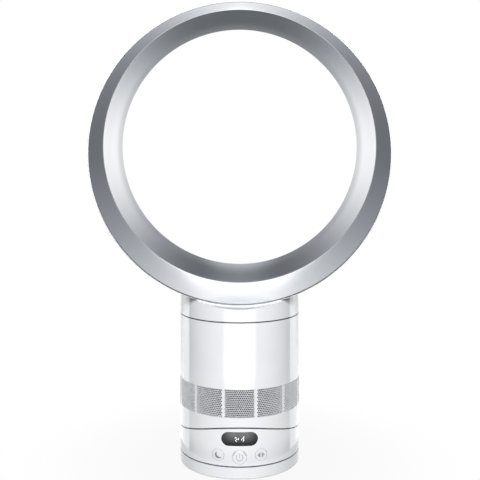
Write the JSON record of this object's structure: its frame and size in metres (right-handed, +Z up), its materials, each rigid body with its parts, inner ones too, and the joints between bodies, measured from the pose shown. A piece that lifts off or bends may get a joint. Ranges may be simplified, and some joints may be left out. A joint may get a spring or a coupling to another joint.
{
  "type": "bladeless desk fan",
  "caption": "Bladeless desk fan: eccentric hollow loop, silver inside, on a round base with perforated intake, turning and tilting, with display and buttons.",
  "frame": {"origin": "centre of the underside, on the floor, on the swing axis", "axes": "+Z up, the front with the display faces -Y, +X to the right seen from the front"},
  "size_m": [0.358, 0.146, 0.556],
  "materials": {
    "white_gloss": "glossy moulded ABS",
    "silver_paint": "metallic silver paint on moulded plastic",
    "grille_lilac": "moulded, finely perforated",
    "smoked_lens": "polished smoked acrylic",
    "black_rubber": "moulded rubber",
    "dark_plastic": "moulded, unpainted",
    "grey_plastic": "moulded, unpainted",
    "acetal": "natural acetal",
    "board_green": "solder-masked board",
    "part_black": "moulded electronic parts",
    "bright_steel": "plated steel",
    "motor_steel": "electrical steel",
    "foam_grey": "open-cell foam"
  },
  "bodies": {
    "foot": {"base_foot": "white_gloss", "foot_deck": "dark_plastic", "foot_pads": "black_rubber", "cable_grommet": "black_rubber", "fixed_gear": "acetal", "glide_ring": "acetal", "retaining_ring": "bright_steel", "foot_screws": "bright_steel"},
    "control_section": {"control_housing": "white_gloss", "swivel_plate": "dark_plastic", "swivel_bush": "acetal", "tilt_cradle": "dark_plastic", "tilt_glides": "acetal", "oscillation_motor": "motor_steel", "control_screws": "bright_steel", "control_board": "board_green", "display_board": "board_green", "display_standoffs": "dark_plastic", "display_light_box": "dark_plastic", "display_lens": "smoked_lens", "button_switches": "part_black"},
    "drive_pinion": {"drive_pinion": "acetal", "drive_spindle": "bright_steel"},
    "power_button": {"power_button": "white_gloss"},
    "sleep_timer_button": {"sleep_timer_button": "white_gloss"},
    "oscillation_button": {"oscillation_button": "white_gloss"},
    "upper_body": {"body_casing": "white_gloss", "intake_grille": "grille_lilac", "tilt_plate": "dark_plastic", "drive_board": "board_green", "power_parts": "part_black", "intake_foam": "foam_grey", "inlet_bellmouth": "dark_plastic", "rubber_mounts": "black_rubber", "impeller_housing": "grey_plastic", "silencer_foam": "foam_grey", "diffuser": "grey_plastic", "motor_bucket": "dark_plastic", "motor_cap": "dark_plastic", "motor_bearings": "bright_steel", "motor_stator": "motor_steel", "top_collar": "dark_plastic", "collar_seal": "black_rubber", "body_screws": "bright_steel"},
    "impeller": {"impeller": "grey_plastic", "impeller_nut": "bright_steel", "motor_shaft": "bright_steel", "motor_rotor": "motor_steel"},
    "loop": {"loop_outer_casing": "white_gloss", "loop_inner_casing": "silver_paint", "slot_spacers": "dark_plastic", "loop_spigot": "dark_plastic"}
  },
  "joints": [
    {"name": "oscillation", "type": "hinge", "parent": "foot", "child": "control_section", "pos_m": [0, 0, 0.0164], "axis": [0, 0, 1], "range_deg": [-45, 45]},
    {"name": "drive_pinion_spin", "type": "hinge", "parent": "control_section", "child": "drive_pinion", "pos_m": [0, 0.04, 0.0143], "axis": [0, 0, 1], "range_deg": [-135, 135]},
    {"name": "tilt", "type": "hinge", "parent": "control_section", "child": "upper_body", "pos_m": [0, 0, 0.2254], "axis": [1, 0, 0], "range_deg": [-10, 10]},
    {"name": "impeller_spin", "type": "hinge", "parent": "upper_body", "child": "impeller", "pos_m": [0, 0, 0.134], "axis": [0, 0, 1], "continuous": true},
    {"name": "loop_lock", "type": "hinge", "parent": "upper_body", "child": "loop", "pos_m": [0, 0, 0.1818], "axis": [0, 0, 1], "range_deg": [-15, 0]},
    {"name": "power_button_press", "type": "slide", "parent": "control_section", "child": "power_button", "axis": [0, 1, 0], "range_m": [0, 0.0008], "stiffness_N_per_m": 400, "springref_m": -0.001},
    {"name": "sleep_timer_button_press", "type": "slide", "parent": "control_section", "child": "sleep_timer_button", "axis": [0, 1, 0], "range_m": [0, 0.0008], "stiffness_N_per_m": 400, "springref_m": -0.001},
    {"name": "oscillation_button_press", "type": "slide", "parent": "control_section", "child": "oscillation_button", "axis": [0, 1, 0], "range_m": [0, 0.0008], "stiffness_N_per_m": 400, "springref_m": -0.001}
  ],
  "couplings": [
    {"joint": "drive_pinion_spin", "follows": "oscillation", "ratio": 3}
  ]
}
